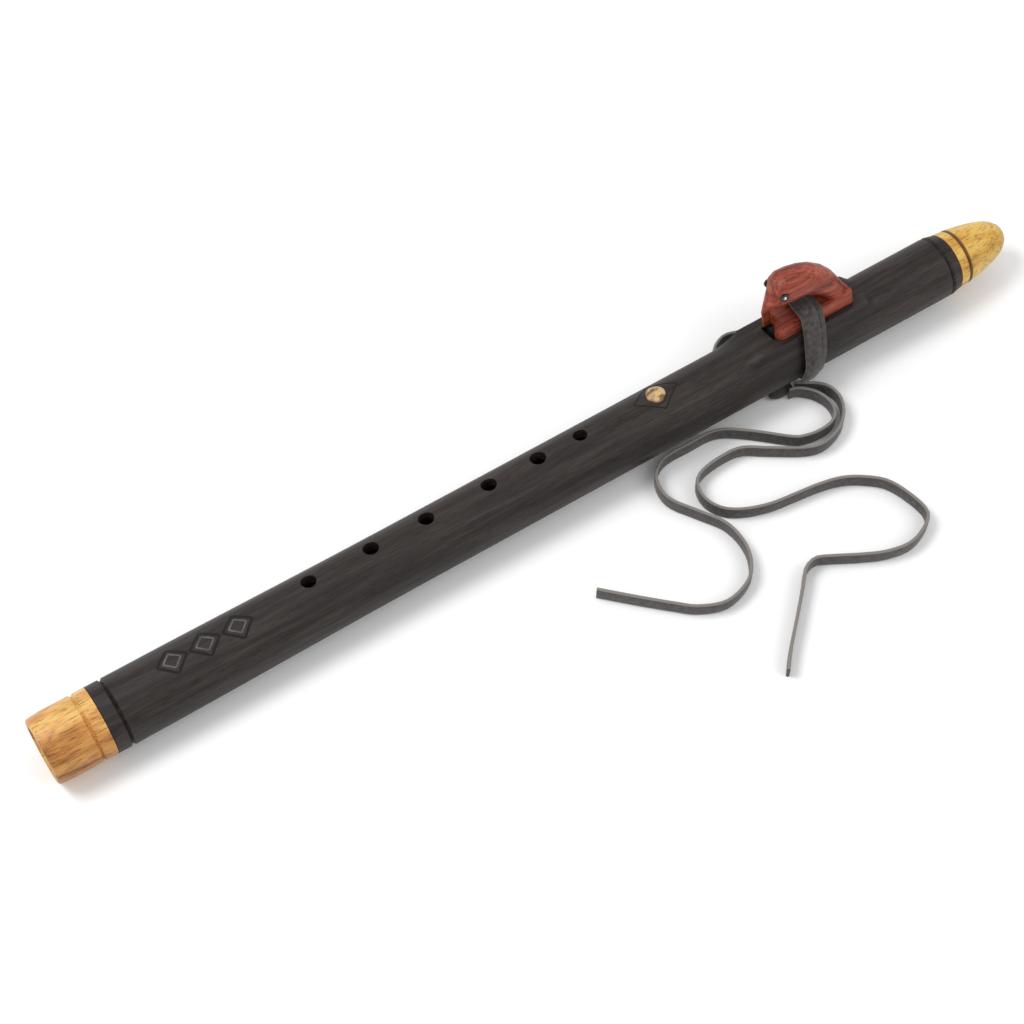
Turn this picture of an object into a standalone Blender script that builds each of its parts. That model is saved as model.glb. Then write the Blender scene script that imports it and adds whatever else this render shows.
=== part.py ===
"""A six-hole wooden flute with a carved bird-head block tied over its air channel.

Every piece is modelled along the flute's own axis: x runs from the foot rim to the mouth, z points to the
finger holes. One empty then lays the whole flute down as it rests on a table. Lengths are in metres.
"""
import math

import bmesh
import bpy
from mathutils import Matrix, Vector

# Clearances
SEAT_GAP = 0.0003
LAYER_GAP = 0.00045

# Stations along the flute
RING_LENGTH = 0.0302
BODY_HEAD_END = 0.5089
CAP_LENGTH = 0.0341
FOOT_GROOVE_OFFSET = 0.0079
HEAD_GROOVE_OFFSET = 0.0057
RING_GROOVE_OFFSET = 0.0070
CAP_GROOVE_OFFSET = 0.0060

# Radii of the wood
BODY_RADIUS = 0.0160
FOOT_RADIUS = 0.0171
FLARE_START = 0.0400
FLARE_END = 0.1900
HEAD_JOINT_RADIUS = 0.0150
RING_BELLY = 0.0080
RING_BELLY_RADIUS = 0.0173
RING_RIM_RADIUS = 0.0168
RIM_ROUND = 0.0013
GROOVE_DEPTH = 0.0012
GROOVE_WIDTH = 0.0022
CAP_GROOVE_DEPTH = 0.0008
CAP_GROOVE_WIDTH = 0.0016

# Bores
BORE_RADIUS = 0.0111
MOUTH_BORE_RADIUS = 0.0128
BREATH_HOLE_RADIUS = 0.0035
BREATH_LIP = 0.0020
RING_SPIGOT_LENGTH = 0.0080
RING_SPIGOT_RADIUS = 0.0132
CAP_SPIGOT_LENGTH = 0.0120

# Finger holes: station along the flute and diameter
FINGER_HOLES = (
    (0.1431, 0.0078),
    (0.1765, 0.0080),
    (0.2066, 0.0080),
    (0.2412, 0.0080),
    (0.2687, 0.0082),
    (0.2926, 0.0072),
)

# Raised nest and its air channel
NEST_TOP = 0.01585
NEST_HALF_WIDTH = 0.0117
NEST_START = 0.3885
NEST_END = 0.4520
NEST_CORNER_LAG = 0.0030
NEST_SIDE_LEAD = 0.0060
SCOOP_LENGTH = 0.0145
HEAD_RAMP_LENGTH = 0.0055
SOUND_HOLE_FOOT = 0.4015
SOUND_HOLE_LENGTH = 0.0031
SOUND_HOLE_HALF_WIDTH = 0.0055
EDGE_THICKNESS = 0.0008
EDGE_UNDERCUT = 0.0050
FLUE_DEPTH = 0.0010
EXIT_HOLE_START = 0.4245
EXIT_HOLE_LENGTH = 0.0050
PLUG_START = 0.4060
PLUG_LENGTH = 0.0160

# Round stone set in the top
STONE_STATION = 0.3360
STONE_RADIUS = 0.0050
STONE_SEAT = 0.0146
STONE_HEIGHT = 0.0030

# Bird-head block
BLOCK_FRONT = 0.4030
BLOCK_REAR = 0.4475
BLOCK_HALF_WIDTH = 0.0089
BLOCK_BASE_HEIGHT = 0.00735
WING_ROUND = 0.0038
RECESS_DEPTH = 0.0043
RECESS_HALF_WIDTH = 0.0049
EYE_STATION = 0.4092
EYE_HEIGHT = 0.0402
EYE_RADIUS = 0.0022
EYE_WALL = 0.0009
EYE_FLOOR = 0.0062
EYE_FACE = 0.0076

# Leather lace
LACE_WIDTH = 0.0090
LACE_THICKNESS = 0.0016
FLAT_CUT = 0.0005
KNOT_PLACE = (0.4020, -0.0113)
KNOT_HALF = (0.0068, 0.0034, 0.0034)
TABLE_GAP = 0.0003

# How the flute lies: rolled about its axis, holes leaning away
REST_ROLL = math.radians(-16.1)

# Roundness
BODY_STEPS = (12, 6, 36)
LATHE_STEPS = 48
HOLE_STEPS = 24

# Route of the two turns round the block: turn angle in degrees (0 over the block), station, layer (1 outer)
WRAP_ROUTE = (
    (-132, 0.4060, 1), (-117, 0.4120, 1), (-104, 0.4135, 1), (-85, 0.4151, 1), (-51, 0.4170, 1),
    (-29, 0.4187, 1), (-5, 0.4202, 1), (19, 0.4214, 1), (60, 0.4224, 1), (100, 0.4223, 1),
    (140, 0.4210, 1), (185, 0.4190, 1), (230, 0.4176, 0), (256, 0.4178, 0), (275, 0.4192, 0),
    (303, 0.4212, 0), (323, 0.4227, 0), (340, 0.4236, 0), (360, 0.4244, 0), (380, 0.4256, 0),
    (420, 0.4266, 0), (460, 0.4265, 0), (500, 0.4253, 0), (538, 0.4236, 0),
)

# Routes of the loose lace on the table: station from the foot rim and sideways place under the flute's axis
LOOP_ROUTE = (
    (0.4065, 0.0140), (0.4078, 0.0195), (0.4052, 0.0240), (0.4002, 0.0268), (0.3965, 0.0279),
    (0.3930, 0.0279), (0.3880, 0.0258), (0.3848, 0.0228), (0.3833, 0.0188), (0.3860, 0.0151),
    (0.3920, 0.0141), (0.3995, 0.0139),
)
TAIL_A_ROUTE = (
    (0.4040, -0.0158), (0.4072, -0.0165), (0.4105, -0.0188), (0.4142, -0.0228), (0.4167, -0.0282),
    (0.4172, -0.0335), (0.4155, -0.0385), (0.4105, -0.0420), (0.4030, -0.0428), (0.3960, -0.0417), (0.3898, -0.0388),
    (0.3727, -0.0240), (0.3598, -0.0160), (0.3444, -0.0152), (0.3288, -0.0158), (0.3202, -0.0224),
    (0.3186, -0.0350), (0.3271, -0.0491), (0.3348, -0.0617), (0.3361, -0.0761), (0.3317, -0.0875),
    (0.3238, -0.0940), (0.3110, -0.0968), (0.2982, -0.0919), (0.2894, -0.0846), (0.2770, -0.0732),
    (0.2622, -0.0589),
)
TAIL_B_ROUTE = (
    (0.4085, -0.0136), (0.4136, -0.0168), (0.4178, -0.0196), (0.4216, -0.0238), (0.4232, -0.0300),
    (0.4218, -0.0362), (0.4180, -0.0420), (0.4113, -0.0470), (0.4008, -0.0497), (0.3912, -0.0471),
    (0.3765, -0.0380), (0.3644, -0.0305), (0.3513, -0.0297), (0.3398, -0.0319), (0.3348, -0.0368),
    (0.3337, -0.0453), (0.3379, -0.0538), (0.3462, -0.0597), (0.3585, -0.0640), (0.3709, -0.0658),
    (0.3840, -0.0674), (0.3963, -0.0703), (0.4062, -0.0758), (0.4148, -0.0838), (0.4196, -0.0961),
    (0.4209, -0.1074), (0.4155, -0.1131), (0.4042, -0.1171), (0.3919, -0.1152), (0.3811, -0.1105),
    (0.3662, -0.1025), (0.3599, -0.0999), (0.3531, -0.1020), (0.3479, -0.1077), (0.3360, -0.1198),
    (0.3226, -0.1332), (0.3155, -0.1416),
)
TAIL_STEP = 0.0090

# Side profile of the bird's head and neck: top x and z, bottom x and z, half width, from beak tip to rump
HEAD_SECTIONS = (
    (0.3996, 0.0312, 0.4002, 0.0288, 0.0008),
    (0.4016, 0.0346, 0.4026, 0.0302, 0.0022),
    (0.4042, 0.0380, 0.4046, 0.0314, 0.0040),
    (0.4066, 0.0420, 0.4080, 0.0318, 0.0058),
    (0.4082, 0.0472, 0.4120, 0.0320, 0.0072),
    (0.4120, 0.0491, 0.4155, 0.0320, 0.0078),
    (0.4180, 0.0485, 0.4195, 0.0318, 0.0079),
    (0.4245, 0.0469, 0.4235, 0.0310, 0.0078),
    (0.4310, 0.0441, 0.4275, 0.0290, 0.0076),
    (0.4370, 0.0396, 0.4305, 0.0266, 0.0074),
    (0.4412, 0.0347, 0.4320, 0.0246, 0.0073),
    (0.4446, 0.0286, 0.4326, 0.0224, 0.0076),
    (0.4470, 0.0230, 0.4330, 0.0198, 0.0082),
    (0.4462, 0.0200, 0.4335, 0.0180, 0.0080),
)
HEAD_STEPS = 20
HEAD_SQUARENESS = 2.6


def clear_scene():
    """Start from nothing."""
    for thing in list(bpy.data.objects):
        bpy.data.objects.remove(thing)


def make_material(name, colour, roughness, metallic=0.0):
    """A plain finish for one piece."""
    material = bpy.data.materials.new(name)
    material.use_nodes = True
    shader = material.node_tree.nodes["Principled BSDF"]
    shader.inputs["Base Color"].default_value = (*colour, 1.0)
    shader.inputs["Roughness"].default_value = roughness
    shader.inputs["Metallic"].default_value = metallic
    return material


def add_object(name, bm, material, parent):
    """Turn a bmesh into a named piece with outward faces and smooth round sides."""
    bmesh.ops.recalc_face_normals(bm, faces=bm.faces)
    mesh = bpy.data.meshes.new(name)
    bm.to_mesh(mesh)
    bm.free()
    mesh.shade_smooth()
    mesh.set_sharp_from_angle(angle=math.radians(35))
    mesh.materials.append(material)
    piece = bpy.data.objects.new(name, mesh)
    bpy.context.collection.objects.link(piece)
    piece.parent = parent
    return piece


def skin(rings, closed):
    """Join rings of points into a solid, either closed into a tube wall or capped at both ends."""
    bm = bmesh.new()
    loops = [[bm.verts.new(point) for point in ring] for ring in rings]
    pairs = list(zip(loops, loops[1:]))
    if closed:
        pairs.append((loops[-1], loops[0]))
    for here, there in pairs:
        for i in range(len(here)):
            j = (i + 1) % len(here)
            bm.faces.new((here[i], here[j], there[j], there[i]))
    if not closed:
        bm.faces.new(loops[0])
        bm.faces.new(loops[-1])
    return bm


def around_x(x, radius, steps):
    """One ring of points round the flute's axis."""
    turn = 2 * math.pi / steps
    return [Vector((x, radius * math.sin(i * turn), radius * math.cos(i * turn))) for i in range(steps)]


def around_z(centre_x, z, radius, steps):
    """One ring of points round an upright axis through the top line."""
    turn = 2 * math.pi / steps
    return [Vector((centre_x + radius * math.cos(i * turn), radius * math.sin(i * turn), z)) for i in range(steps)]


def cut(piece, cutter_bm, name):
    """Take a shape out of a piece, and keep the cutter as a hidden guide."""
    bmesh.ops.recalc_face_normals(cutter_bm, faces=cutter_bm.faces)
    mesh = bpy.data.meshes.new(name)
    cutter_bm.to_mesh(mesh)
    cutter_bm.free()
    cutter = bpy.data.objects.new(name, mesh)
    bpy.context.collection.objects.link(cutter)
    cutter.parent = piece.parent
    cutter.hide_render = True
    cutter.display_type = "WIRE"
    boolean = piece.modifiers.new(name, "BOOLEAN")
    boolean.operation = "DIFFERENCE"
    boolean.solver = "EXACT"
    boolean.object = cutter
    return cutter


def prism_xz(outline, half_width):
    """A side outline pulled out both ways from the middle plane."""
    rings = [[Vector((x, side * half_width, z)) for x, z in outline] for side in (-1, 1)]
    return skin(rings, closed=False)


def groove_profile(x, radius, width, depth):
    """The three points of a V groove."""
    return [(x - width / 2, radius), (x, radius - depth), (x + width / 2, radius)]


def smooth_step(value):
    """A blend from 0 to 1 that starts and ends level."""
    value = min(max(value, 0.0), 1.0)
    return value * value * (3 - 2 * value)


def body_radius(x):
    """Radius of the round body, swelling towards the foot."""
    share = smooth_step((x - FLARE_START) / (FLARE_END - FLARE_START))
    return FOOT_RADIUS + (BODY_RADIUS - FOOT_RADIUS) * share


NEST_CORNER_RADIUS = math.hypot(NEST_HALF_WIDTH, NEST_TOP)
NEST_CORNER_ANGLE = math.atan2(NEST_HALF_WIDTH, NEST_TOP)
NEST_SIDE_ANGLE = NEST_CORNER_ANGLE + math.acos(BODY_RADIUS / NEST_CORNER_RADIUS)


def nest_radius(angle):
    """Distance from the axis to the nest's flat top and its two side flats."""
    away = abs(angle)
    if away <= NEST_CORNER_ANGLE:
        return NEST_TOP / math.cos(away)
    if away < NEST_SIDE_ANGLE:
        return BODY_RADIUS / math.cos(NEST_SIDE_ANGLE - away)
    return BODY_RADIUS


def body_angles():
    """Angles round the body, with points on the nest's edges."""
    top, side, rest = BODY_STEPS
    angles = [-NEST_CORNER_ANGLE + 2 * NEST_CORNER_ANGLE * i / top for i in range(top)]
    angles += [NEST_CORNER_ANGLE + (NEST_SIDE_ANGLE - NEST_CORNER_ANGLE) * i / side for i in range(side)]
    angles += [NEST_SIDE_ANGLE + 2 * (math.pi - NEST_SIDE_ANGLE) * i / rest for i in range(rest)]
    angles += [-NEST_SIDE_ANGLE + (NEST_SIDE_ANGLE - NEST_CORNER_ANGLE) * i / side for i in range(side)]
    return [(a + math.pi) % (2 * math.pi) - math.pi for a in angles]


def nest_edge(angle):
    """Station where the scoop meets the nest: later at the corners, earlier down the sides."""
    away = abs(angle)
    if away <= NEST_CORNER_ANGLE:
        return NEST_START + NEST_CORNER_LAG * (away / NEST_CORNER_ANGLE) ** 2
    share = min((away - NEST_CORNER_ANGLE) / (NEST_SIDE_ANGLE - NEST_CORNER_ANGLE), 1.0)
    return NEST_START + NEST_CORNER_LAG - (NEST_CORNER_LAG + NEST_SIDE_LEAD) * share


def body_ring(station, radius_at):
    """One ring of the body, with a station and a radius for each angle."""
    ring = []
    for angle in body_angles():
        radius = radius_at(angle)
        ring.append(Vector((station(angle), radius * math.sin(angle), radius * math.cos(angle))))
    return ring


def round_ring(x, radius):
    """A plain round ring on the body's own angles."""
    return body_ring(lambda angle: x, lambda angle: radius)


def body_shell():
    """The body's outside from foot to head, then its bore back again."""
    start = RING_LENGTH + SEAT_GAP
    end = BODY_HEAD_END
    rings = [round_ring(start, FOOT_RADIUS)]
    foot_groove = RING_LENGTH + FOOT_GROOVE_OFFSET
    rings += [round_ring(x, r) for x, r in groove_profile(foot_groove, FOOT_RADIUS, GROOVE_WIDTH, GROOVE_DEPTH)]
    for i in range(6):
        x = FLARE_START + (FLARE_END - FLARE_START) * i / 5
        rings.append(round_ring(x, body_radius(x)))
    for i in range(6):
        share = i / 5

        def station(angle, share=share):
            return NEST_START - SCOOP_LENGTH + (nest_edge(angle) - NEST_START + SCOOP_LENGTH) * share

        def radius_at(angle, share=share):
            return BODY_RADIUS + (nest_radius(angle) - BODY_RADIUS) * share ** 2

        rings.append(body_ring(station, radius_at))
    for i in range(5):
        rise = 1 - smooth_step(i / 4)

        def ramp_radius(angle, rise=rise):
            return BODY_RADIUS + (nest_radius(angle) - BODY_RADIUS) * rise

        x = NEST_END + HEAD_RAMP_LENGTH * i / 4
        rings.append(body_ring(lambda angle, x=x: x, ramp_radius))
    head_groove = BODY_HEAD_END - HEAD_GROOVE_OFFSET
    rings += [round_ring(x, r) for x, r in groove_profile(head_groove, BODY_RADIUS, GROOVE_WIDTH, GROOVE_DEPTH)]
    rings.append(round_ring(end, HEAD_JOINT_RADIUS))
    rings.append(round_ring(end, BORE_RADIUS))
    socket_end = RING_LENGTH + RING_SPIGOT_LENGTH + 2 * SEAT_GAP
    rings.append(round_ring(socket_end, BORE_RADIUS))
    rings.append(round_ring(socket_end, RING_SPIGOT_RADIUS + SEAT_GAP))
    rings.append(round_ring(start, RING_SPIGOT_RADIUS + SEAT_GAP))
    return skin(rings, closed=True)


def make_body(flute):
    """The tube with its nest, finger holes, air channel, sound hole and stone seat."""
    ebony = make_material("ebony", (0.030, 0.024, 0.022), 0.42)
    body = add_object("flute_body", body_shell(), ebony, flute)
    above = BODY_RADIUS * 1.4
    for number, (x, diameter) in enumerate(FINGER_HOLES, 1):
        rings = [around_z(x, z, diameter / 2, HOLE_STEPS) for z in (0.0, above)]
        cut(body, skin(rings, closed=False), f"finger_hole_cutter_{number}")
    head_edge = SOUND_HOLE_FOOT + SOUND_HOLE_LENGTH
    inside = BORE_RADIUS - 0.002
    sound_hole = [
        (SOUND_HOLE_FOOT, above), (SOUND_HOLE_FOOT, NEST_TOP - EDGE_THICKNESS),
        (SOUND_HOLE_FOOT - EDGE_UNDERCUT, inside), (head_edge, inside), (head_edge, above),
    ]
    cut(body, prism_xz(sound_hole, SOUND_HOLE_HALF_WIDTH), "sound_hole_cutter")
    exit_end = EXIT_HOLE_START + EXIT_HOLE_LENGTH
    flue = [
        (head_edge - SEAT_GAP, above), (head_edge - SEAT_GAP, NEST_TOP - FLUE_DEPTH),
        (EXIT_HOLE_START, NEST_TOP - FLUE_DEPTH), (EXIT_HOLE_START, inside), (exit_end, inside), (exit_end, above),
    ]
    cut(body, prism_xz(flue, SOUND_HOLE_HALF_WIDTH - SEAT_GAP), "flue_cutter")
    seat = [around_z(STONE_STATION, z, STONE_RADIUS + SEAT_GAP, HOLE_STEPS) for z in (STONE_SEAT, above)]
    cut(body, skin(seat, closed=False), "stone_seat_cutter")


def make_foot_ring(flute):
    """The light wood ring at the foot, open right through, with a spigot in the body."""
    joint = RING_LENGTH
    groove = RING_LENGTH - RING_GROOVE_OFFSET
    outside = []
    for i in range(4):
        angle = math.pi / 2 * i / 3
        outside.append((RIM_ROUND * (1 - math.sin(angle)), RING_RIM_RADIUS - RIM_ROUND * (1 - math.cos(angle))))
    outside.reverse()
    outside.append((RING_BELLY, RING_BELLY_RADIUS))
    outside += groove_profile(groove, FOOT_RADIUS, GROOVE_WIDTH, GROOVE_DEPTH)
    outside.append((joint, FOOT_RADIUS))
    outside.append((joint, RING_SPIGOT_RADIUS))
    spigot_end = joint + RING_SPIGOT_LENGTH
    inside = [(spigot_end, RING_SPIGOT_RADIUS), (spigot_end, BORE_RADIUS), (joint, BORE_RADIUS)]
    inside += [(RIM_ROUND, MOUTH_BORE_RADIUS), (0.0, MOUTH_BORE_RADIUS + RIM_ROUND / 2)]
    rings = [around_x(x, r, LATHE_STEPS) for x, r in outside + inside]
    canarywood = make_material("canarywood", (0.52, 0.30, 0.11), 0.40)
    add_object("foot_ring", skin(rings, closed=True), canarywood, flute)


def cap_radius(share):
    """Radius of the bullet-shaped mouthpiece, from its joint (0) to its nose (1)."""
    return HEAD_JOINT_RADIUS * (1 - share ** 1.3) ** (1 / 3.25)


def make_mouth_cap(flute):
    """The bullet-shaped mouthpiece with its breath hole and its spigot in the body."""
    joint = BODY_HEAD_END + SEAT_GAP
    shoulder = joint + 0.0008
    nose = joint + CAP_LENGTH
    groove = BODY_HEAD_END + CAP_GROOVE_OFFSET
    length = nose - shoulder
    groove_radius = cap_radius((groove - shoulder) / length)
    profile = [(joint, HEAD_JOINT_RADIUS), (shoulder, HEAD_JOINT_RADIUS)]
    profile += groove_profile(groove, groove_radius, CAP_GROOVE_WIDTH, CAP_GROOVE_DEPTH)
    for share in (0.30, 0.42, 0.54, 0.65, 0.75, 0.83, 0.89, 0.94):
        profile.append((shoulder + length * share, cap_radius(share)))
    profile.append((nose - 0.0006, BREATH_HOLE_RADIUS + BREATH_LIP))
    profile.append((nose, BREATH_HOLE_RADIUS + BREATH_LIP / 2))
    profile.append((nose - 0.0004, BREATH_HOLE_RADIUS))
    spigot = BORE_RADIUS - SEAT_GAP
    spigot_end = BODY_HEAD_END - CAP_SPIGOT_LENGTH
    profile += [(spigot_end, BREATH_HOLE_RADIUS), (spigot_end, spigot), (joint, spigot)]
    rings = [around_x(x, r, LATHE_STEPS) for x, r in profile]
    add_object("mouth_cap", skin(rings, closed=True), bpy.data.materials["canarywood"], flute)


def make_plug(flute):
    """The wooden wall between the air chamber and the sounding bore."""
    pine = make_material("plug_wood", (0.35, 0.22, 0.12), 0.7)
    stations = (PLUG_START, PLUG_START + PLUG_LENGTH)
    rings = [around_x(x, BORE_RADIUS - SEAT_GAP, LATHE_STEPS) for x in stations]
    add_object("chamber_plug", skin(rings, closed=False), pine, flute)


def make_stone(flute):
    """The domed stone in its seat."""
    stone = make_material("stone", (0.36, 0.27, 0.20), 0.15)
    floor = STONE_SEAT + SEAT_GAP
    rings = [around_z(STONE_STATION, floor, STONE_RADIUS, HOLE_STEPS)]
    girdle = BODY_RADIUS - floor
    for i in range(5):
        angle = math.radians(16 * i)
        height = floor + girdle + (STONE_HEIGHT - girdle) * math.sin(angle)
        rings.append(around_z(STONE_STATION, height, STONE_RADIUS * math.cos(angle), HOLE_STEPS))
    add_object("cabochon", skin(rings, closed=False), stone, flute)


def base_outline():
    """Plan of the block's base: two rounded wings either side of the chimney recess."""
    half = []
    recess = BLOCK_FRONT + RECESS_DEPTH
    half.append((recess, RECESS_HALF_WIDTH))
    half.append((BLOCK_FRONT, RECESS_HALF_WIDTH))
    for i in range(6):
        angle = math.pi / 2 * i / 5
        x = BLOCK_FRONT + WING_ROUND * (1 - math.cos(angle))
        half.append((x, BLOCK_HALF_WIDTH - WING_ROUND * (1 - math.sin(angle))))
    for i in range(4):
        angle = math.pi / 2 * i / 3
        x = BLOCK_REAR - WING_ROUND / 2 * (1 - math.sin(angle))
        half.append((x, BLOCK_HALF_WIDTH - WING_ROUND / 2 * (1 - math.cos(angle))))
    return half + [(x, -y) for x, y in reversed(half)]


def head_ring(top_x, top_z, bottom_x, bottom_z, half_width):
    """One rounded section of the bird's head."""
    middle = Vector(((top_x + bottom_x) / 2, 0.0, (top_z + bottom_z) / 2))
    up = Vector(((top_x - bottom_x) / 2, 0.0, (top_z - bottom_z) / 2))
    ring = []
    for i in range(HEAD_STEPS):
        angle = 2 * math.pi * i / HEAD_STEPS
        c, s = math.cos(angle), math.sin(angle)
        rise = math.copysign(abs(c) ** (2 / HEAD_SQUARENESS), c)
        side = math.copysign(abs(s) ** (2 / HEAD_SQUARENESS), s)
        ring.append(middle + up * rise + Vector((0.0, half_width * side, 0.0)))
    return ring


def make_block(flute):
    """The carved block: a flat base with wings, and a bird's head curving forward over the lace."""
    padauk = make_material("padauk", (0.40, 0.10, 0.05), 0.45)
    floor = NEST_TOP + SEAT_GAP
    outline = base_outline()
    rings = [[Vector((x, y, z)) for x, y in outline] for z in (floor, floor + BLOCK_BASE_HEIGHT)]
    block = add_object("fetish_block", skin(rings, closed=False), padauk, flute)
    head_bm = skin([head_ring(*row) for row in HEAD_SECTIONS], closed=False)
    cut(block, head_bm, "head_form")
    block.modifiers[0].operation = "UNION"
    for side in (-1, 1):
        rings = [eye_ring_points(side, y, EYE_RADIUS + SEAT_GAP) for y in (EYE_FLOOR, BLOCK_HALF_WIDTH * 1.4)]
        cut(block, skin(rings, closed=False), f"eye_socket_cutter_{side}")


def eye_ring_points(side, y, radius):
    """A ring of points round an eye's axis."""
    turn = 2 * math.pi / HOLE_STEPS
    return [
        Vector((EYE_STATION + radius * math.cos(i * turn), side * y, EYE_HEIGHT + radius * math.sin(i * turn)))
        for i in range(HOLE_STEPS)
    ]


def make_eyes(flute):
    """A dark ring and a bright pin in each socket."""
    horn = make_material("eye_ring_black", (0.012, 0.012, 0.012), 0.3)
    metal = make_material("eye_pin_metal", (0.75, 0.75, 0.72), 0.25, 1.0)
    floor = EYE_FLOOR + SEAT_GAP
    for side, word in ((-1, "right"), (1, "left")):
        inner = EYE_RADIUS - EYE_WALL
        profile = ((floor, EYE_RADIUS), (EYE_FACE, EYE_RADIUS), (EYE_FACE, inner), (floor, inner))
        rings = [eye_ring_points(side, y, r) for y, r in profile]
        add_object(f"eye_ring_{word}", skin(rings, closed=True), horn, flute)
        pin = inner - SEAT_GAP
        rings = [eye_ring_points(side, y, r) for y, r in ((floor, pin), (EYE_FACE, pin), (EYE_FACE + 0.0004, pin / 2))]
        add_object(f"eye_pin_{word}", skin(rings, closed=False), metal, flute)


def hull_stations():
    """One turn of the lace over the flute's section: turn angle, point and outward normal, from the bottom up."""
    stations = []
    steps = 7
    block_top = NEST_TOP + SEAT_GAP + BLOCK_BASE_HEIGHT
    side = Vector((block_top - NEST_TOP, NEST_HALF_WIDTH - BLOCK_HALF_WIDTH)).normalized()
    lean = math.atan2(side.x, side.y)
    for i in range(steps + 1):
        angle = math.pi - (math.pi - NEST_SIDE_ANGLE) * i / steps
        stations.append((angle, Vector((math.sin(angle), math.cos(angle))) * BODY_RADIUS, angle))
    stations.append((NEST_CORNER_ANGLE, Vector((NEST_HALF_WIDTH, NEST_TOP)), (lean + NEST_SIDE_ANGLE) / 2))
    corner = Vector((BLOCK_HALF_WIDTH, block_top))
    for share in (1.0, 0.5, 0.0):
        stations.append((math.atan2(corner.x, corner.y) * (0.9 + 0.1 * share), corner, lean * share))
    half = [(turn, point, normal) for turn, point, normal in stations]
    near = [(-turn, Vector((-point.x, point.y)), -normal) for turn, point, normal in half]
    top = [(0.0, Vector((0.0, block_top)), 0.0)]
    return near[1:] + top + half[::-1]


def route_value(turn, column):
    """A smooth reading of the lace's route at one turn angle."""
    degrees = math.degrees(turn)
    for here, there in zip(WRAP_ROUTE, WRAP_ROUTE[1:]):
        if degrees <= there[0]:
            share = max((degrees - here[0]) / (there[0] - here[0]), 0.0)
            return here[column] + (there[column] - here[column]) * share
    return WRAP_ROUTE[-1][column]


def wrap_path():
    """Centre line and outward normals of the lace's two turns."""
    first = math.radians(WRAP_ROUTE[0][0])
    last = math.radians(WRAP_ROUTE[-1][0])
    path = []
    for loop in (0, 1):
        for turn, point, normal in hull_stations():
            angle = turn + 2 * math.pi * loop
            if first - 1e-6 <= angle <= last + 1e-6:
                lift = SEAT_GAP + LACE_THICKNESS / 2
                lift += route_value(angle, 2) * (LACE_THICKNESS + LAYER_GAP)
                out = Vector((0.0, math.sin(normal), math.cos(normal)))
                place = Vector((route_value(angle, 1), point.x, point.y)) + out * lift
                path.append((place, out))
    return path


def lace_ring(place, along, out):
    """The lace's section: a flat strip with softened edges."""
    across = along.cross(out).normalized()
    out = across.cross(along).normalized()
    w, t, c = LACE_WIDTH / 2, LACE_THICKNESS / 2, LACE_THICKNESS / 5
    corners = ((w, t - c), (w - c, t), (c - w, t), (-w, t - c), (-w, c - t), (c - w, -t), (w - c, -t), (w, c - t))
    return [place + across * a + out * b for a, b in corners]


def table_plane(flute):
    """The table's surface in the flute's own frame."""
    inverse = flute.matrix_world.inverted()
    return inverse @ Vector((0.0, 0.0, 0.0)), (inverse.to_3x3() @ Vector((0.0, 0.0, 1.0))).normalized()


def cut_flat(bm, flute):
    """Flatten a soft piece where it lies on the table."""
    place, up = table_plane(flute)
    geometry = list(bm.verts) + list(bm.edges) + list(bm.faces)
    cut_result = bmesh.ops.bisect_plane(bm, geom=geometry, plane_co=place, plane_no=up, clear_inner=True)
    rim = [item for item in cut_result["geom_cut"] if isinstance(item, bmesh.types.BMEdge)]
    if rim:
        bmesh.ops.contextual_create(bm, geom=rim)


def make_wrap(flute):
    """The lace's two turns round the body and the block's base, one unbroken strip."""
    leather = make_material("leather", (0.060, 0.045, 0.040), 0.75)
    path = wrap_path()
    rings = []
    for i, (place, out) in enumerate(path):
        before = path[max(i - 1, 0)][0]
        after = path[min(i + 1, len(path) - 1)][0]
        rings.append(lace_ring(place, (after - before).normalized(), out))
    least = 1.0
    for i, (place, out) in enumerate(path):
        for other, _ in path[i + 6:]:
            if abs((other - place).x) < LACE_WIDTH:
                away = other - place
                least = min(least, math.hypot(away.y, away.z) - LACE_THICKNESS)
    print(f"least gap between the lace's two turns: {least * 1000:.2f} mm")
    bm = skin(rings, closed=False)
    bmesh.ops.recalc_face_normals(bm, faces=bm.faces)
    cut_flat(bm, flute)
    add_object("lace_wrap", bm, leather, flute)


def table_point(x, y, z):
    """A point over the table, given from the foot rim and from under the flute's axis."""
    return Vector((x, y, z))


def make_knot(flute):
    """The knot under the near side, where the tails leave the turns."""
    bm = bmesh.new()
    bmesh.ops.create_uvsphere(bm, u_segments=16, v_segments=10, radius=1.0)
    bmesh.ops.scale(bm, vec=KNOT_HALF, verts=bm.verts)
    place = table_point(*KNOT_PLACE, KNOT_HALF[2] - FLAT_CUT)
    bmesh.ops.translate(bm, vec=place, verts=bm.verts)
    bmesh.ops.transform(bm, matrix=flute.matrix_world.inverted(), verts=bm.verts)
    cut_flat(bm, flute)
    add_object("lace_knot", bm, bpy.data.materials["leather"], flute)


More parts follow.
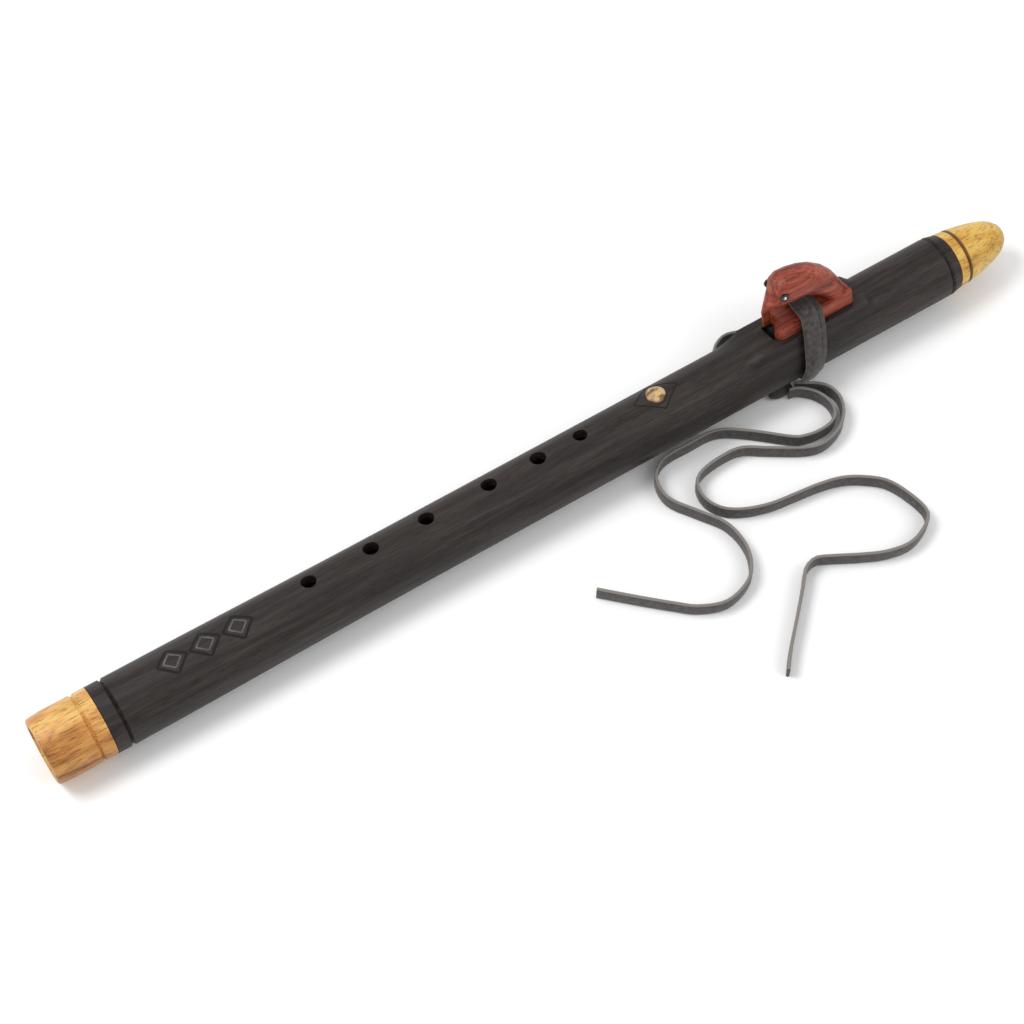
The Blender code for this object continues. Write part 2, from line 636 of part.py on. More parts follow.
def smooth_route(points, step):
    """Even points along a smooth curve through the route's own points."""
    knots = [Vector((x, y, 0.0)) for x, y in points]
    fine = []
    for i in range(len(knots) - 1):
        a = knots[max(i - 1, 0)]
        b, c = knots[i], knots[i + 1]
        d = knots[min(i + 2, len(knots) - 1)]
        for k in range(12):
            t = k / 12
            fine.append(0.5 * (2 * b + (c - a) * t + (2 * a - 5 * b + 4 * c - d) * t ** 2
                               + (3 * b - a - 3 * c + d) * t ** 3))
    fine.append(knots[-1])
    lengths = [0.0]
    for here, there in zip(fine, fine[1:]):
        lengths.append(lengths[-1] + (there - here).length)
    count = max(round(lengths[-1] / step), 2)
    even = []
    for i in range(count + 1):
        target = lengths[-1] * i / count
        k = next((j for j in range(1, len(lengths)) if lengths[j] >= target - 1e-9), len(lengths) - 1)
        share = (target - lengths[k - 1]) / (lengths[k] - lengths[k - 1])
        even.append(fine[k - 1].lerp(fine[k], share))
    return even, lengths[-1]


def make_lace_run(name, route, step):
    """A loose stretch of lace standing on its edge on the table."""
    points, length = smooth_route(route, step)
    print(f"{name}: {length * 1000:.0f} mm in {len(points)} points")
    curve = bpy.data.curves.new(name, "CURVE")
    curve.dimensions = "3D"
    curve.twist_mode = "Z_UP"
    curve.extrude = (LACE_WIDTH - LACE_THICKNESS) / 2
    curve.bevel_depth = LACE_THICKNESS / 2
    curve.bevel_resolution = 1
    curve.use_fill_caps = True
    spline = curve.splines.new("POLY")
    spline.points.add(len(points) - 1)
    for place, point in zip(points, spline.points):
        point.co = (*table_point(place.x, place.y, LACE_WIDTH / 2 + TABLE_GAP), 1.0)
    curve.materials.append(bpy.data.materials["leather"])
    lace = bpy.data.objects.new(name, curve)
    bpy.context.collection.objects.link(lace)
    return lace


def lay_flute():
    """The empty that lays the flute on the foot ring and on the lace under the nest."""
    outer = BODY_RADIUS + SEAT_GAP + 2 * LACE_THICKNESS + LAYER_GAP - FLAT_CUT
    strap_station = WRAP_ROUTE[11][1]
    tilt = math.atan2(outer - RING_BELLY_RADIUS, strap_station - RING_BELLY)
    height = RING_BELLY_RADIUS * math.cos(tilt) - RING_BELLY * math.sin(tilt)
    flute = bpy.data.objects.new("flute_axis", None)
    bpy.context.collection.objects.link(flute)
    flute.matrix_world = (
        Matrix.Translation((0.0, 0.0, height)) @ Matrix.Rotation(-tilt, 4, "Y") @ Matrix.Rotation(REST_ROLL, 4, "X")
    )
    bpy.context.view_layer.update()
    return flute


def world_box(pieces):
    """Corners of the box round some pieces."""
    graph = bpy.context.evaluated_depsgraph_get()
    low = Vector((1e9, 1e9, 1e9))
    high = -low
    for piece in pieces:
        evaluated = piece.evaluated_get(graph)
        mesh = evaluated.to_mesh()
        for vertex in mesh.vertices:
            place = piece.matrix_world @ vertex.co
            low = Vector(map(min, low, place))
            high = Vector(map(max, high, place))
        evaluated.to_mesh_clear()
    return low, high


def main():
    """Build every piece, then stand the whole over its origin."""
    clear_scene()
    flute = lay_flute()
    make_foot_ring(flute)
    make_body(flute)
    make_mouth_cap(flute)
    make_plug(flute)
    make_stone(flute)
    make_block(flute)
    make_eyes(flute)
    make_wrap(flute)
    make_knot(flute)
    loose = [
        make_lace_run("lace_loop", LOOP_ROUTE, TAIL_STEP / 2),
        make_lace_run("lace_tail_a", TAIL_A_ROUTE, TAIL_STEP),
        make_lace_run("lace_tail_b", TAIL_B_ROUTE, TAIL_STEP),
    ]
    bpy.context.view_layer.update()
    pieces = [thing for thing in bpy.data.objects if thing.type == "MESH" and not thing.hide_render]
    low, high = world_box(pieces)
    shift = Vector(((low.x + high.x) / 2, (low.y + high.y) / 2, low.z))
    for thing in [flute] + loose:
        thing.matrix_world = Matrix.Translation(-shift) @ thing.matrix_world
    print("shift", [round(v * 1000, 3) for v in shift])


main()
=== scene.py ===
"""Looks of a wooden six-hole flute: its woods, stone, leather lace, light and camera.

Lengths are in metres. A station is a place along the flute, counted from the foot rim.
"""
import logging
import math
from dataclasses import dataclass, field
from enum import Enum

import bmesh
import bpy
from mathutils import Matrix, Vector


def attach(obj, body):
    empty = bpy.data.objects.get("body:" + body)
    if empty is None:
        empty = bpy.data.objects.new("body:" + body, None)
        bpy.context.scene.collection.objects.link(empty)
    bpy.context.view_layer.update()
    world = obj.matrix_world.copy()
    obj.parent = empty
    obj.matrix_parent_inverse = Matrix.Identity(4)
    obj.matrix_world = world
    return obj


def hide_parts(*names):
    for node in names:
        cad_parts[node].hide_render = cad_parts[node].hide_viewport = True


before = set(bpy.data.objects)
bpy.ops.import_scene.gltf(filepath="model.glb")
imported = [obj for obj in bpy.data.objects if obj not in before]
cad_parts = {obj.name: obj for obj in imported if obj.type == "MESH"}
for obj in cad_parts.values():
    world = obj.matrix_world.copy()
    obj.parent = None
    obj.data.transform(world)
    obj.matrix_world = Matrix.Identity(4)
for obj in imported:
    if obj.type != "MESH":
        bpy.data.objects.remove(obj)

log = logging.getLogger("flute")
Triple = tuple[float, float, float]
Colour = tuple[float, float, float]
Shade = tuple[float, float, float, float]
Route = tuple[tuple[float, float], ...]

# Where the flute lies: the foot rim's centre, the axis's rise towards the mouth and the roll
AXIS_ORIGIN = Vector((-0.271617, 0.000024, 0.017258))
AXIS_RISE = math.radians(0.3)
REST_ROLL = math.radians(-16.1)
FLUTE_BODY = "flute"

TUBE_RADIUS = 0.0160
FOOT_RADIUS = 0.0171
FLARE_START = 0.0400
FLARE_END = 0.1900
CAP_GROOVE = 0.5149
STONE_STATION = 0.3360

WHITE: Shade = (1.0, 1.0, 1.0, 1.0)


def linear(colour: Colour) -> Shade:
    """Turn a colour as seen on screen into the shader's linear one, by the sRGB curve.

    Args:
        colour: Red, green and blue from 0 to 1.

    Returns:
        The linear colour with full alpha.
    """
    return (*(c / 12.92 if c <= 0.04045 else ((c + 0.055) / 1.055) ** 2.4 for c in colour), 1.0)


def aimed(place: Vector, target: Vector) -> Matrix:
    """Placement of a camera or lamp that looks at a target.

    Args:
        place: Where it stands.
        target: What it looks at.

    Returns:
        The placement.
    """
    return Matrix.Translation(place) @ (target - place).to_track_quat("-Z", "Y").to_matrix().to_4x4()


@dataclass
class Recipe:
    """One material while its nodes are put together."""

    name: str
    material: bpy.types.Material = field(init=False)
    shader: bpy.types.Node = field(init=False)
    place: bpy.types.Node = field(init=False)

    def __post_init__(self) -> None:
        """Start the material with its shader and its place on the piece."""
        self.material = bpy.data.materials.new(self.name)
        self.material.use_nodes = True
        self.shader = self.material.node_tree.nodes["Principled BSDF"]
        self.place = self.add("ShaderNodeTexCoord")

    def add(self, kind: str) -> bpy.types.Node:
        """Add a node of the given kind."""
        return self.material.node_tree.nodes.new(kind)

    def join(self, source: bpy.types.NodeSocket, target: bpy.types.NodeSocket) -> None:
        """Link one socket to another."""
        self.material.node_tree.links.new(source, target)

    def stretched(self, scale: Triple) -> bpy.types.NodeSocket:
        """Stretch the place on the piece.

        Args:
            scale: How many times finer the pattern gets along each axis.

        Returns:
            The stretched place.
        """
        mapping = self.add("ShaderNodeMapping")
        mapping.inputs["Scale"].default_value = scale
        self.join(self.place.outputs["Object"], mapping.inputs["Vector"])
        return mapping.outputs["Vector"]

    def noise(
        self, place: bpy.types.NodeSocket, scale: float = 1.0, detail: float = 2.0, roughness: float = 0.5
    ) -> bpy.types.NodeSocket:
        """Add a cloudy pattern.

        Args:
            place: Where the pattern is read.
            scale: Its fineness.
            detail: How many finer layers it has.
            roughness: How strong the finer layers are.

        Returns:
            The pattern's value.
        """
        cloud = self.add("ShaderNodeTexNoise")
        cloud.inputs["Scale"].default_value = scale
        cloud.inputs["Detail"].default_value = detail
        cloud.inputs["Roughness"].default_value = roughness
        self.join(place, cloud.inputs["Vector"])
        return cloud.outputs["Fac"]

    def ramp(self, value: bpy.types.NodeSocket, stops: list[tuple[float, Shade]]) -> bpy.types.NodeSocket:
        """Turn a value into a colour.

        Args:
            value: The value that picks the colour.
            stops: Value and linear colour of each stop, in rising order.

        Returns:
            The colour.
        """
        node = self.add("ShaderNodeValToRGB")
        elements = node.color_ramp.elements
        elements[0].position, elements[0].color = stops[0]
        elements[1].position, elements[1].color = stops[-1]
        for position, colour in stops[1:-1]:
            elements.new(position).color = colour
        self.join(value, node.inputs["Fac"])
        return node.outputs["Color"]

    def place_along(self, axis: str) -> bpy.types.NodeSocket:
        """The place on the piece along one axis.

        Args:
            axis: The axis's letter.

        Returns:
            The coordinate.
        """
        split = self.add("ShaderNodeSeparateXYZ")
        self.join(self.place.outputs["Object"], split.inputs["Vector"])
        return split.outputs[axis]

    def band(
        self, value: bpy.types.NodeSocket, start: float, end: float, low: float = 0.0, high: float = 1.0
    ) -> bpy.types.NodeSocket:
        """Fade from one share to another as a value rises.

        Args:
            value: The value.
            start: Where the fade starts.
            end: Where it ends.
            low: The share at the start.
            high: The share at the end.

        Returns:
            The share.
        """
        fade = self.add("ShaderNodeMapRange")
        fade.inputs["From Min"].default_value = start
        fade.inputs["From Max"].default_value = end
        fade.inputs["To Min"].default_value = low
        fade.inputs["To Max"].default_value = high
        self.join(value, fade.inputs["Value"])
        return fade.outputs["Result"]

    def painted(
        self, share: bpy.types.NodeSocket, under: bpy.types.NodeSocket, over: Shade
    ) -> bpy.types.NodeSocket:
        """Lay a plain colour over another.

        Args:
            share: How much of the plain colour shows.
            under: The colour below.
            over: The plain linear colour.

        Returns:
            The mixed colour.
        """
        mix = self.add("ShaderNodeMix")
        mix.data_type = "RGBA"
        self.join(share, mix.inputs["Factor"])
        self.join(under, mix.inputs["A"])
        mix.inputs["B"].default_value = over
        return mix.outputs["Result"]

    def shaded(
        self, share: float, under: bpy.types.NodeSocket, over: bpy.types.NodeSocket
    ) -> bpy.types.NodeSocket:
        """Multiply one colour by another.

        Args:
            share: How much the second colour counts.
            under: The first colour.
            over: The second colour.

        Returns:
            The multiplied colour.
        """
        mix = self.add("ShaderNodeMix")
        mix.data_type = "RGBA"
        mix.blend_type = "MULTIPLY"
        mix.inputs["Factor"].default_value = share
        self.join(under, mix.inputs["A"])
        self.join(over, mix.inputs["B"])
        return mix.outputs["Result"]

    def roughen(self, value: bpy.types.NodeSocket, strength: float, depth: float) -> None:
        """Give the surface a fine relief.

        Args:
            value: The relief's pattern.
            strength: How much of it shows.
            depth: How deep it is.
        """
        bump = self.add("ShaderNodeBump")
        bump.inputs["Strength"].default_value = strength
        bump.inputs["Distance"].default_value = depth
        self.join(value, bump.inputs["Height"])
        self.join(bump.outputs["Normal"], self.shader.inputs["Normal"])


class Grain(Enum):
    """How fine a wood's figure is, along the flute and across it."""

    FINE = (22.0, 330.0, 330.0)
    BANDED = (14.0, 95.0, 95.0)


@dataclass(frozen=True)
class WoodFinish:
    """A turned and oiled wood with streaks and pores."""

    name: str
    dark: Colour
    middle: Colour
    light: Colour
    roughness: float
    grain: Grain
    bump: float = 0.12
    groove_band_at: float | None = None
    stops: tuple[float, float, float] = (0.34, 0.48, 0.68)
    streak_detail: float = 7.0
    streak_roughness: float = 0.6
    pore_scale: Triple = (160.0, 1600.0, 1600.0)
    pore_stops: tuple[float, float] = (0.36, 0.46)
    pore_shade: Shade = (0.35, 0.32, 0.30, 1.0)
    pore_share: float = 0.75
    pore_depth: float = 0.0002
    shine: float = 0.3
    groove_brown: Colour = (0.30, 0.16, 0.08)
    groove_band_inner: float = 0.0007
    groove_band_outer: float = 0.0013
    groove_band_share: float = 0.85

    def darken_groove(self, recipe: Recipe, wood: bpy.types.NodeSocket) -> bpy.types.NodeSocket:
        """Darken a narrow band of the wood round its groove.

        Args:
            recipe: The wood's material.
            wood: The colour of the plain wood.

        Returns:
            The colour with the darkened band.
        """
        # Darkens the wood's colour in a narrow band round the groove's station.
        offset = recipe.add("ShaderNodeMath")
        offset.operation = "SUBTRACT"
        offset.inputs[1].default_value = self.groove_band_at
        recipe.join(recipe.place_along("X"), offset.inputs[0])
        away = recipe.add("ShaderNodeMath")
        away.operation = "ABSOLUTE"
        recipe.join(offset.outputs["Value"], away.inputs[0])
        share = recipe.band(away.outputs["Value"], self.groove_band_inner, self.groove_band_outer, self.groove_band_share, 0.0)
        return recipe.painted(share, wood, linear(self.groove_brown))

    def material(self) -> bpy.types.Material:
        """Build the wood.

        Returns:
            The finished material.
        """
        recipe = Recipe(self.name)
        figure = recipe.stretched(self.grain.value)
        streaks = recipe.noise(figure, detail=self.streak_detail, roughness=self.streak_roughness)
        colours = (linear(self.dark), linear(self.middle), linear(self.light))
        wood = recipe.ramp(streaks, list(zip(self.stops, colours)))
        pores = recipe.noise(recipe.stretched(self.pore_scale))
        pore_colour = recipe.ramp(pores, list(zip(self.pore_stops, (self.pore_shade, WHITE))))
        wood = recipe.shaded(self.pore_share, wood, pore_colour)
        if self.groove_band_at is not None:
            wood = self.darken_groove(recipe, wood)
        recipe.join(wood, recipe.shader.inputs["Base Color"])
        recipe.roughen(pores, self.bump, self.pore_depth)
        recipe.shader.inputs["Roughness"].default_value = self.roughness
        recipe.shader.inputs["Specular IOR Level"].default_value = self.shine
        return recipe.material


@dataclass(frozen=True)
class LeatherFinish:
    """Dark suede with a fuzzy nap, and a paler top edge where it stands on its edge: partly the cut edge's
    own lighter colour, partly a painted highlight where light falls on top.
    """

    name: str = "lace_leather"
    dark: Colour = (0.13, 0.11, 0.11)
    light: Colour = (0.29, 0.26, 0.25)
    cut_edge_and_highlight: Colour = (0.48, 0.46, 0.44)
    pale_edge_height: float | None = None
    pale_edge_fade: float = 0.0003
    stops: tuple[float, float] = (0.32, 0.72)
    nap_scale: float = 420.0
    nap_detail: float = 6.0
    nap_strength: float = 0.5
    nap_depth: float = 0.0003
    roughness: float = 0.88
    sheen: float = 0.25

    def material(self) -> bpy.types.Material:
        """Build the leather.

        Returns:
            The finished material.
        """
        recipe = Recipe(self.name)
        nap = recipe.noise(recipe.place.outputs["Object"], self.nap_scale, self.nap_detail)
        suede = recipe.ramp(nap, list(zip(self.stops, (linear(self.dark), linear(self.light)))))
        # Paler band along the top edge: the cut edge's own colour together with a painted highlight.
        if self.pale_edge_height is not None:
            share = recipe.band(recipe.place_along("Z"), self.pale_edge_height - self.pale_edge_fade, self.pale_edge_height)
            suede = recipe.painted(share, suede, linear(self.cut_edge_and_highlight))
        recipe.join(suede, recipe.shader.inputs["Base Color"])
        recipe.roughen(nap, self.nap_strength, self.nap_depth)
        recipe.shader.inputs["Roughness"].default_value = self.roughness
        recipe.shader.inputs["Sheen Weight"].default_value = self.sheen
        return recipe.material


@dataclass(frozen=True)
class PolishedFinish:
    """A plain surface with a little clouding: stone, horn, metal or the ground of a line."""

    name: str
    dark: Colour
    light: Colour
    roughness: float
    metallic: float = 0.0
    cloud: float = 260.0
    stops: tuple[float, float] = (0.38, 0.64)

    def material(self) -> bpy.types.Material:
        """Build the clouded surface.

        Returns:
            The finished material.
        """
        recipe = Recipe(self.name)
        cloud = recipe.noise(recipe.place.outputs["Object"], self.cloud)
        colour = recipe.ramp(cloud, list(zip(self.stops, (linear(self.dark), linear(self.light)))))
        recipe.join(colour, recipe.shader.inputs["Base Color"])
        recipe.shader.inputs["Roughness"].default_value = self.roughness
        recipe.shader.inputs["Metallic"].default_value = self.metallic
        return recipe.material


EBONY = WoodFinish(
    "ebony", dark=(0.09, 0.07, 0.065), middle=(0.14, 0.115, 0.105), light=(0.21, 0.175, 0.16),
    roughness=0.5, grain=Grain.FINE,
)
CANARYWOOD = WoodFinish(
    "canarywood", dark=(0.44, 0.25, 0.11), middle=(0.74, 0.51, 0.26), light=(0.88, 0.71, 0.42),
    roughness=0.38, grain=Grain.BANDED, bump=0.05,
)
# The cap's wood, darker in a narrow band round its groove.
CAP_WOOD = WoodFinish(
    "cap_canarywood", dark=(0.52, 0.35, 0.13), middle=(0.78, 0.60, 0.27), light=(0.88, 0.74, 0.40),
    roughness=0.38, grain=Grain.BANDED, bump=0.05, groove_band_at=CAP_GROOVE + AXIS_ORIGIN.x,
)
PADAUK = WoodFinish(
    "padauk", dark=(0.34, 0.14, 0.09), middle=(0.52, 0.22, 0.16), light=(0.66, 0.33, 0.24),
    roughness=0.45, grain=Grain.FINE,
)
PLUG_WOOD = WoodFinish(
    "plug_wood", dark=(0.45, 0.32, 0.20), middle=(0.58, 0.43, 0.28), light=(0.68, 0.52, 0.36),
    roughness=0.7, grain=Grain.FINE,
)
STONE = PolishedFinish("stone", dark=(0.42, 0.30, 0.17), light=(0.76, 0.64, 0.46), roughness=0.12)
HORN = PolishedFinish("horn", dark=(0.03, 0.03, 0.03), light=(0.08, 0.08, 0.08), roughness=0.25)
EYE_METAL = PolishedFinish(
    "eye_metal", dark=(0.78, 0.77, 0.74), light=(0.92, 0.91, 0.88), roughness=0.25, metallic=1.0
)
LEATHER = LeatherFinish()
# Leather for the loose laces, with the paler top edge that is partly a painted highlight.
EDGED_LEATHER = LeatherFinish("edged_lace_leather", pale_edge_height=0.0088)
DARK_CUT = PolishedFinish("dark_cut", dark=(0.02, 0.015, 0.015), light=(0.04, 0.03, 0.03), roughness=0.9)
GREY_CUT = PolishedFinish("grey_cut", dark=(0.25, 0.23, 0.22), light=(0.36, 0.33, 0.32), roughness=0.6)


@dataclass
class Woodwork:
    """The turned, carved and set pieces, whose shapes come from the frame."""

    finishes: dict[str, WoodFinish | PolishedFinish] = field(default_factory=lambda: {
        "flute_body": EBONY,
        "foot_ring": CANARYWOOD,
        "mouth_cap": CAP_WOOD,
        "chamber_plug": PLUG_WOOD,
        "fetish_block": PADAUK,
        "eye_ring_left": HORN,
        "eye_ring_right": HORN,
        "eye_pin_left": EYE_METAL,
        "eye_pin_right": EYE_METAL,
        "cabochon": STONE,
    })

    def dress(self) -> None:
        """Give each piece its finish."""
        made: dict[str, bpy.types.Material] = {}
        for node, finish in self.finishes.items():
            if finish.name not in made:
                made[finish.name] = finish.material()
            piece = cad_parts[node]
            piece.data.materials.clear()
            piece.data.materials.append(made[finish.name])
            log.info("dressed %s with %s", node, finish.name)


def tube_radius(station: float) -> float:
    """Radius of the tube, which swells towards the foot.

    Args:
        station: Place along the flute.

    Returns:
        The radius there.
    """
    share = min(max((station - FLARE_START) / (FLARE_END - FLARE_START), 0.0), 1.0)
    return FOOT_RADIUS + (TUBE_RADIUS - FOOT_RADIUS) * share * share * (3 - 2 * share)


@dataclass
class Lozenges:
    """Plain lozenges on the tube, each a chain of short bars sunk in it and a little proud of it."""

    name: str
    stations: tuple[float, ...]
    round_tube: float
    half_length: float
    half_height: float
    width: float
    finish: PolishedFinish
    bar: float = 0.0025
    proud: float = 0.00008
    depth: float = 0.0005

    def corners(self, station: float) -> list[Vector]:
        """Corners of one lozenge on the unrolled tube.

        Args:
            station: Its middle along the flute.

        Returns:
            The corners, the first one again at the end.
        """
        foot = Vector((station - self.half_length, self.round_tube))
        up = Vector((station, self.round_tube + self.half_height))
        mouth = Vector((station + self.half_length, self.round_tube))
        down = Vector((station, self.round_tube - self.half_height))
        return [foot, up, mouth, down, foot]

    def build(self) -> None:
        """Set the bars of every lozenge in the tube's surface."""
        piece = bpy.data.objects.new(self.name, bpy.data.meshes.new(self.name))
        bpy.context.collection.objects.link(piece)
        bpy.ops.object.select_all(action="DESELECT")
        piece.select_set(True)
        bpy.context.view_layer.objects.active = piece
        bpy.ops.object.mode_set(mode="EDIT")
        for station in self.stations:
            corners = self.corners(station)
            for here, there in zip(corners, corners[1:]):
                self.add_bars(here, there)
        bpy.ops.object.mode_set(mode="OBJECT")
        piece.data.materials.append(self.finish.material())
        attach(piece, FLUTE_BODY)
        log.info("set %s: %d faces", self.name, len(piece.data.polygons))

    def add_bars(self, here: Vector, there: Vector) -> None:
        """Add the bars of one straight stretch.

        Args:
            here: Station along the flute and distance round the tube of the start.
            there: The same of the end.
        """
        way = there - here
        count = max(math.ceil(way.length / self.bar), 1)
        for i in range(count):
            middle = here + way * ((i + 0.5) / count)
            radius = tube_radius(middle.x)
            place = (
                Matrix.Translation(AXIS_ORIGIN) @ Matrix.Rotation(-AXIS_RISE, 4, "Y")
                @ Matrix.Rotation(REST_ROLL - middle.y / radius, 4, "X")
                @ Matrix.Translation((middle.x, 0.0, radius + self.proud - self.depth / 2))
                @ Matrix.Rotation(math.atan2(way.y, way.x), 4, "Z")
            )
            bpy.ops.mesh.primitive_cube_add(
                size=1.0, location=place.to_translation(), rotation=place.to_euler(),
                scale=(way.length / count, self.width, self.depth),
            )


# One lozenge round the stone and a row of double ones near the foot
ROW = (0.0700, 0.0870, 0.1040)
ORNAMENT = (
    Lozenges("stone_lozenge", stations=(STONE_STATION,), round_tube=0.0, half_length=0.0125,
             half_height=0.0095, width=0.0006, finish=DARK_CUT),
    Lozenges("lozenges", stations=ROW, round_tube=-0.0035, half_length=0.0078,
             half_height=0.0070, width=0.0012, finish=DARK_CUT),
    Lozenges("inner_lozenges", stations=ROW, round_tube=-0.0035, half_length=0.0046,
             half_height=0.0041, width=0.0008, finish=GREY_CUT),
)

# Routes of the loose lace: station, and distance sideways from under the flute's axis
LOOP_ROUTE: Route = (
    (0.4065, 0.0140), (0.4078, 0.0195), (0.4052, 0.0240), (0.4002, 0.0268), (0.3965, 0.0279),
    (0.3930, 0.0279), (0.3880, 0.0258), (0.3848, 0.0228), (0.3833, 0.0188), (0.3860, 0.0151),
    (0.3920, 0.0141), (0.3995, 0.0139),
)
TAIL_A_ROUTE: Route = (
    (0.4040, -0.0158), (0.4072, -0.0165), (0.4105, -0.0188), (0.4142, -0.0228), (0.4167, -0.0282),
    (0.4172, -0.0335), (0.4155, -0.0385), (0.4105, -0.0420), (0.4030, -0.0428), (0.3960, -0.0417),
    (0.3898, -0.0388), (0.3727, -0.0240), (0.3598, -0.0160), (0.3444, -0.0152), (0.3288, -0.0158),
    (0.3202, -0.0224), (0.3186, -0.0350), (0.3271, -0.0491), (0.3348, -0.0617), (0.3361, -0.0761),
    (0.3317, -0.0875), (0.3238, -0.0940), (0.3110, -0.0968), (0.2982, -0.0919), (0.2894, -0.0846),
    (0.2770, -0.0732), (0.2622, -0.0589),
)
TAIL_B_ROUTE: Route = (
    (0.4085, -0.0136), (0.4136, -0.0168), (0.4178, -0.0196), (0.4216, -0.0238), (0.4232, -0.0300),
    (0.4218, -0.0362), (0.4180, -0.0420), (0.4113, -0.0470), (0.4008, -0.0497), (0.3912, -0.0471),
    (0.3765, -0.0380), (0.3644, -0.0305), (0.3513, -0.0297), (0.3398, -0.0319), (0.3348, -0.0368),
    (0.3337, -0.0453), (0.3379, -0.0538), (0.3462, -0.0597), (0.3585, -0.0640), (0.3709, -0.0658),
    (0.3840, -0.0674), (0.3963, -0.0703), (0.4062, -0.0758), (0.4148, -0.0838), (0.4196, -0.0961),
    (0.4209, -0.1074), (0.4155, -0.1131), (0.4042, -0.1171), (0.3919, -0.1152), (0.3811, -0.1105),
    (0.3662, -0.1025), (0.3599, -0.0999), (0.3531, -0.1020), (0.3479, -0.1077), (0.3360, -0.1198),
    (0.3226, -0.1332), (0.3155, -0.1416),
)


@dataclass
class LooseLace:
    """One loose stretch of the flat lace, standing on its edge on the table."""

    name: str
    node: str
    route: Route
    far_end: str
    width: float = 0.0090
    thickness: float = 0.0016
    table_gap: float = 0.0003
    step: float = 0.0030
    parts: int = 12
    edge_rounding: int = 3

    def through_route(self) -> list[Vector]:
        """Close points along a smooth curve that passes every place of the route."""
        height = self.width / 2 + self.table_gap
        knots = [Vector((x + AXIS_ORIGIN.x, y + AXIS_ORIGIN.y, height)) for x, y in self.route]
        fine: list[Vector] = []
        for i in range(len(knots) - 1):
            a = knots[max(i - 1, 0)]
            b, c = knots[i], knots[i + 1]
            d = knots[min(i + 2, len(knots) - 1)]
            for k in range(self.parts):
                t = k / self.parts
                fine.append(0.5 * (2 * b + (c - a) * t + (2 * a - 5 * b + 4 * c - d) * t ** 2
                                   + (3 * b - a - 3 * c + d) * t ** 3))
        fine.append(knots[-1])
        return fine

    def evenly(self) -> tuple[list[Vector], float]:
        """Space points evenly along the smooth curve.

        Returns:
            The points on the table's frame and the length of the curve.
        """
        fine = self.through_route()
        lengths = [0.0]
        for here, there in zip(fine, fine[1:]):
            lengths.append(lengths[-1] + (there - here).length)
        count = max(round(lengths[-1] / self.step), 2)
        even: list[Vector] = []
        k = 1
        for i in range(count + 1):
            target = lengths[-1] * i / count
            while k < len(lengths) - 1 and lengths[k] < target:
                k += 1
            share = (target - lengths[k - 1]) / (lengths[k] - lengths[k - 1])
            even.append(fine[k - 1].lerp(fine[k], share))
        return even, lengths[-1]

    def build(self, leather: bpy.types.Material) -> None:
        """Args:
            leather: The lace's material.
        """
        points, length = self.evenly()
        curve = bpy.data.curves.new(self.name, "CURVE")
        curve.dimensions = "3D"
        curve.twist_mode = "Z_UP"
        curve.extrude = (self.width - self.thickness) / 2
        curve.bevel_depth = self.thickness / 2
        curve.bevel_resolution = self.edge_rounding
        curve.use_fill_caps = True
        spline = curve.splines.new("POLY")
        spline.points.add(len(points) - 1)
        for place, point in zip(points, spline.points):
            point.co = (*place, 1.0)
        curve.materials.append(leather)
        lace = bpy.data.objects.new(self.name, curve)
        bpy.context.collection.objects.link(lace)
        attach(lace, FLUTE_BODY)
        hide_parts(self.node)
        log.info("laid %s, %.0f mm", self.name, length * 1000)


@dataclass
class TiedLace:
    """A fixed stretch of the lace: its solid's own form, welded and smoothly shaded."""

    node: str
    weld: float = 0.00001
    flat: float = math.radians(1)
    crease: float = math.radians(50)

    def build(self, leather: bpy.types.Material) -> None:
        """Make the piece and let it stand for its solid.

        Args:
            leather: The lace's material.
        """
        piece = bpy.data.objects.new(f"{self.node}_leather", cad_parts[self.node].data.copy())
        bpy.context.collection.objects.link(piece)
        bm = bmesh.new()
        bm.from_mesh(piece.data)
        bmesh.ops.remove_doubles(bm, verts=bm.verts, dist=self.weld)
        bmesh.ops.dissolve_limit(bm, angle_limit=self.flat, verts=bm.verts, edges=bm.edges)
        bm.to_mesh(piece.data)
        bm.free()
        piece.data.materials.clear()
        piece.data.materials.append(leather)
        piece.data.shade_smooth()
        piece.data.set_sharp_from_angle(angle=self.crease)
        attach(piece, FLUTE_BODY)
        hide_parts(self.node)
        log.info("made %s", piece.name)


@dataclass(frozen=True)
class Lamp:
    """A square lamp that points at the middle of the table."""

    name: str
    place: Triple
    power: float
    size: float

    def hang(self) -> None:
        """Hang the lamp."""
        data = bpy.data.lights.new(self.name, "AREA")
        data.energy = self.power
        data.size = self.size
        lamp = bpy.data.objects.new(self.name, data)
        lamp.matrix_world = aimed(Vector(self.place), Vector((0.0, 0.0, 0.0)))
        bpy.context.collection.objects.link(lamp)


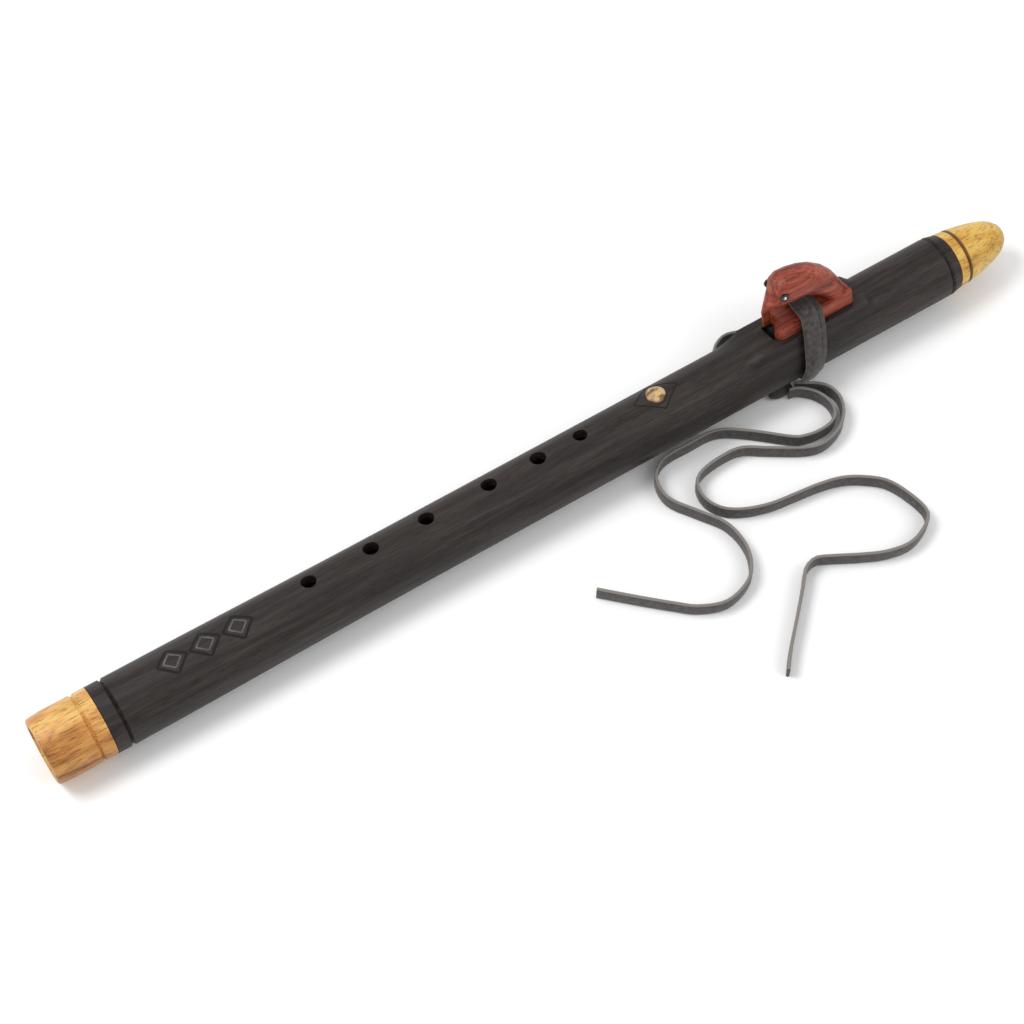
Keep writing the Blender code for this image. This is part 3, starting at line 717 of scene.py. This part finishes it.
@dataclass
class Studio:
    """Camera, floor and lamps."""

    position: Vector = field(default_factory=lambda: Vector((-0.3308, -0.4999, 1.0526)))
    target: Vector = field(default_factory=lambda: Vector((-0.0202, 0.0, 0.0041)))
    lens: float = 87.2
    sensor: float = 36.0
    floor_size: float = 12.0
    floor_white: Shade = (0.90, 0.90, 0.90, 1.0)
    floor_roughness: float = 0.9
    sky: float = 0.75
    lamps: tuple[Lamp, ...] = (
        Lamp("key", place=(-0.7, 0.5, 1.5), power=16.0, size=0.7),
        Lamp("fill", place=(0.8, -0.9, 1.4), power=6.0, size=1.0),
    )

    def camera(self) -> None:
        """Place the camera at the photograph's viewing angle."""
        data = bpy.data.cameras.new("camera")
        data.lens = self.lens
        data.sensor_width = self.sensor
        eye = bpy.data.objects.new("camera", data)
        eye.matrix_world = aimed(self.position, self.target)
        bpy.context.collection.objects.link(eye)
        bpy.context.scene.camera = eye

    def floor(self) -> None:
        """Lay a plain white floor that keeps the shadow."""
        bpy.ops.mesh.primitive_plane_add(size=self.floor_size, location=(0.0, 0.0, 0.0))
        floor = bpy.context.active_object
        floor.name = "floor"
        material = bpy.data.materials.new("floor")
        material.use_nodes = True
        shader = material.node_tree.nodes["Principled BSDF"]
        shader.inputs["Base Color"].default_value = self.floor_white
        shader.inputs["Roughness"].default_value = self.floor_roughness
        floor.data.materials.append(material)

    def world(self) -> None:
        """Light everything evenly from a white sky."""
        world = bpy.data.worlds.new("world")
        world.use_nodes = True
        world.node_tree.nodes["Background"].inputs["Color"].default_value = WHITE
        world.node_tree.nodes["Background"].inputs["Strength"].default_value = self.sky
        bpy.context.scene.world = world

    def build(self) -> None:
        """Set up the floor, the light and the plain view."""
        self.floor()
        self.world()
        for lamp in self.lamps:
            lamp.hang()
        bpy.context.scene.view_settings.view_transform = "Standard"


def main() -> None:
    """Build the looks in order."""
    logging.basicConfig(level=logging.INFO)
    bpy.ops.object.select_all(action="DESELECT")
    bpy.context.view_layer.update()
    studio = Studio()
    studio.camera()
    leather = LEATHER.material()
    edged = EDGED_LEATHER.material()
    LooseLace("tail_a_lace", "lace_tail_a", TAIL_A_ROUTE, "bare").build(edged)
    LooseLace("tail_b_lace", "lace_tail_b", TAIL_B_ROUTE, "bare").build(edged)
    LooseLace("loop_lace", "lace_loop", LOOP_ROUTE, "object").build(edged)
    Woodwork().dress()
    for lozenges in ORNAMENT:
        lozenges.build()
    TiedLace("lace_wrap").build(leather)
    TiedLace("lace_knot").build(leather)
    studio.build()


if __name__ == "__main__":
    main()
